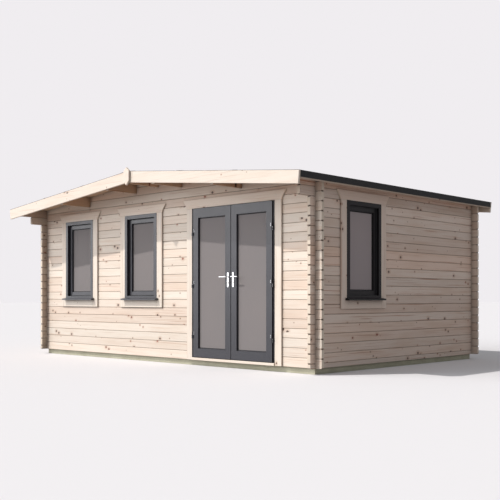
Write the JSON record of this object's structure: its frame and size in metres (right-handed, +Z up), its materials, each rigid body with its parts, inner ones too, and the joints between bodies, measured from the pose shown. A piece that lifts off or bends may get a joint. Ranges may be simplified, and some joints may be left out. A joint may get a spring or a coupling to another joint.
{
  "type": "log cabin",
  "caption": "Timber cabin of interlocking logs with a low gable roof and a deep front overhang, anthracite windows, and a pair of glazed doors that open outwards with sprung lever handles.",
  "frame": {"origin": "ground level, in the middle of the roof's plan", "axes": "+X to the right along the front, -Y out of the front, +Z up"},
  "size_m": [5.94, 4.3338, 2.5993],
  "materials": {
    "treated_timber": "rough, pressure treated",
    "floor_boards": "planed, matt",
    "logs": "planed spruce, untreated",
    "roof_timber": "planed spruce, untreated",
    "roof_felt": "mineral felt, matt",
    "trim_timber": "planed spruce, untreated",
    "glazing": "satin grey, obscured",
    "handle_chrome": "polished",
    "hinge_metal": "satin anthracite",
    "frame_plastic": "satin anthracite"
  },
  "bodies": {
    "cabin": {"bearers": "treated_timber", "floor": "floor_boards", "front_wall_left": "logs", "front_wall_right": "logs", "front_gable": "logs", "back_wall": "logs", "left_wall": "logs", "right_wall": "logs", "purlins": "roof_timber", "left_roof_boards": "roof_timber", "right_roof_boards": "roof_timber", "left_roof_felt": "roof_felt", "right_roof_felt": "roof_felt", "eave_boards": "trim_timber", "bargeboards": "trim_timber", "finials": "trim_timber", "window_1_frame": "frame_plastic", "window_1_sash": "frame_plastic", "window_1_glass": "glazing", "window_1_sill": "frame_plastic", "window_1_trim": "trim_timber", "window_2_frame": "frame_plastic", "window_2_sash": "frame_plastic", "window_2_glass": "glazing", "window_2_sill": "frame_plastic", "window_2_trim": "trim_timber", "window_3_frame": "frame_plastic", "window_3_sash": "frame_plastic", "window_3_glass": "glazing", "window_3_sill": "frame_plastic", "window_3_trim": "trim_timber", "door_frame": "frame_plastic", "door_threshold": "trim_timber", "door_trim": "trim_timber", "frame_hinges": "hinge_metal"},
    "left_door": {"left_door_leaf": "frame_plastic", "left_door_glass": "glazing", "left_hinges": "hinge_metal", "left_plates": "handle_chrome"},
    "right_door": {"right_door_leaf": "frame_plastic", "right_door_glass": "glazing", "right_hinges": "hinge_metal", "right_plates": "handle_chrome"},
    "left_handle": {"left_lever": "handle_chrome"},
    "right_handle": {"right_lever": "handle_chrome"}
  },
  "joints": [
    {"name": "left_door_hinge", "type": "hinge", "parent": "cabin", "child": "left_door", "pos_m": [0.7445, -1.6595, 1.072], "axis": [0, 0, -1], "range_deg": [0, 100]},
    {"name": "right_door_hinge", "type": "hinge", "parent": "cabin", "child": "right_door", "pos_m": [2.1375, -1.6595, 1.072], "axis": [0, 0, 1], "range_deg": [0, 100]},
    {"name": "left_lever_turn", "type": "hinge", "parent": "left_door", "child": "left_handle", "pos_m": [1.396, -1.6515, 1.14], "axis": [0, -1, 0], "range_deg": [0, 35], "stiffness_Nm_per_rad": 2, "springref_deg": -28.65},
    {"name": "right_lever_turn", "type": "hinge", "parent": "right_door", "child": "right_handle", "pos_m": [1.486, -1.6515, 1.14], "axis": [0, 1, 0], "range_deg": [0, 35], "stiffness_Nm_per_rad": 2, "springref_deg": -28.65}
  ]
}
